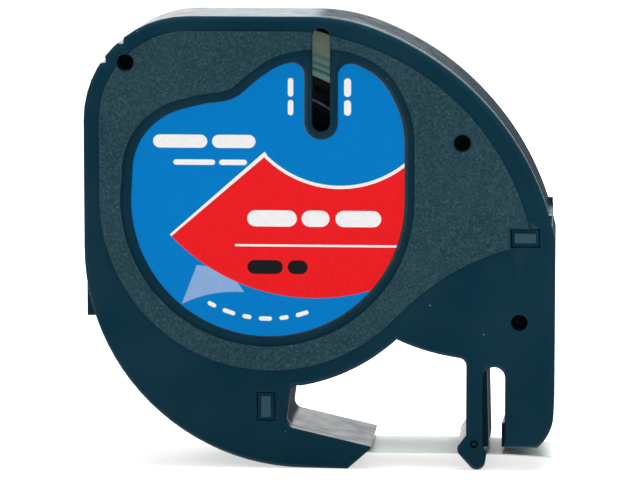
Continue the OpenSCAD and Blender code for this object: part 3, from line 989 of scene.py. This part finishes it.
def build_floor():
    """A pale round floor that glows a little, under the cassette's lowest point."""
    low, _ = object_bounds()
    bm = bmesh.new()
    bmesh.ops.create_circle(bm, cap_ends=True, radius=4.0, segments=96)
    mesh = bpy.data.meshes.new("floor")
    bm.to_mesh(mesh)
    bm.free()
    floor = bpy.data.objects.new("floor", mesh)
    floor.location = (0, 0, low.z)
    bpy.context.scene.collection.objects.link(floor)
    s = Shader(bpy.data.materials.new("floor_pale"))
    tone = s.step(s.noise(60.0), 0.3, 0.7, 0.58, 0.60)
    tint = s.add("CombineColor", {0: tone, 1: tone, 2: tone}).outputs[0]
    material = s.finish(Base_Color=tint, Roughness=0.8, Specular_IOR_Level=0.0)
    s.put(s.surface.inputs["Emission Color"], (1, 1, 1))
    seen = s.maths("MULTIPLY", s.add("LightPath").outputs["Is Camera Ray"], FLOOR_SEEN)
    s.put(s.surface.inputs["Emission Strength"], s.maths("ADD", seen, FLOOR_GLOW))
    mesh.materials.append(material)
    floor.visible_glossy = False


def build_world():
    """White surroundings for the camera, softer light, and a mostly dark room for gloss."""
    world = bpy.data.worlds.new("studio")
    world.cycles.sampling_method = "NONE"
    bpy.context.scene.world = world
    s = Shader(world, "Background")
    ray = s.add("LightPath").outputs
    x, y, z = s.add("SeparateXYZ", {0: s.add("TexCoord").outputs["Generated"]}).outputs
    left_part = s.step(x, -0.052, -0.07, 0.05, 1.15)
    upper_part = s.step(z, 0.13, 0.18, 0.09, 1.6)
    wall = s.maths("MAXIMUM", left_part, upper_part)
    behind = s.maths("MULTIPLY", s.step(y, 0.8, 0.97), wall)
    table = s.step(z, -0.4, -0.8, 0.0, 0.8)
    ceiling = s.maths("MULTIPLY", s.step(z, 0.02, 0.2, 0.0, 0.3), s.step(y, -0.7, -0.93))
    left = s.step(x, -0.15, -0.5, 0.0, 0.22)
    right = s.maths("MULTIPLY", s.step(x, 0.1, 0.35, 0.0, 0.2), s.step(y, -0.6, -0.9))
    gloss = 0.006
    for glow in (behind, table, ceiling, left, right):
        gloss = s.maths("ADD", glow, gloss)
    camera = s.maths("MULTIPLY", ray["Is Camera Ray"], 1.0 - SOFT_LIGHT)
    soft = s.maths("ADD", camera, SOFT_LIGHT)
    level = s.add("Mix", data_type="FLOAT")
    s.put(level.inputs[0], ray["Is Glossy Ray"])
    s.put(level.inputs[2], soft)
    s.put(level.inputs[3], gloss)
    tone = level.outputs[0]
    s.put(s.surface.inputs["Color"], s.add("CombineColor", {0: tone, 1: tone, 2: tone}).outputs[0])


def area_light(name, place, target, size, power):
    """A square lamp turned to its target, without a mirror image of its own."""
    data = bpy.data.lights.new(name, "AREA")
    data.shape = "SQUARE"
    data.size = size
    data.energy = power
    lamp = bpy.data.objects.new(name, data)
    lamp.location = place
    lamp.rotation_mode = "QUATERNION"
    lamp.rotation_quaternion = (Vector(target) - Vector(place)).to_track_quat("-Z", "Y")
    lamp.visible_glossy = False
    bpy.context.scene.collection.objects.link(lamp)


def build_lights():
    """The lamps: name, place, size and power."""
    centre = (0.0, -0.01, -0.005)
    for name, place, size, power in (
        ("key", (-0.45, -0.35, 0.55), 0.35, 1.2),
        ("fill", (0.6, -0.3, 0.2), 0.4, 0.5),
        ("top", (0.05, 0.1, 0.7), 0.5, 8.5),
        ("back", (0.12, 0.5, 0.15), 0.3, 2.6),
    ):
        area_light(name, place, centre, size, power)


def build_camera():
    """The camera of the front view, from a little to the right and above."""
    azimuth, elevation = math.radians(3.83), math.radians(7.38)
    data = bpy.data.cameras.new("camera")
    data.sensor_width = 36
    data.lens = 219.4
    data.clip_start, data.clip_end = 0.01, 20
    camera = bpy.data.objects.new("camera", data)
    camera.location = (0.03994, -0.51144, 0.05927)
    look = Vector((
        -math.sin(azimuth) * math.cos(elevation),
        math.cos(azimuth) * math.cos(elevation),
        -math.sin(elevation),
    ))
    camera.rotation_mode = "QUATERNION"
    camera.rotation_quaternion = look.to_track_quat("-Z", "Y")
    bpy.context.scene.collection.objects.link(camera)
    bpy.context.scene.camera = camera
    bpy.context.scene.view_settings.view_transform = "Standard"


build_cover()
build_housing()
build_label()
build_core()
build_roll()
build_spring()
build_strip()
build_small_parts()
build_floor()
build_world()
build_lights()
build_camera()
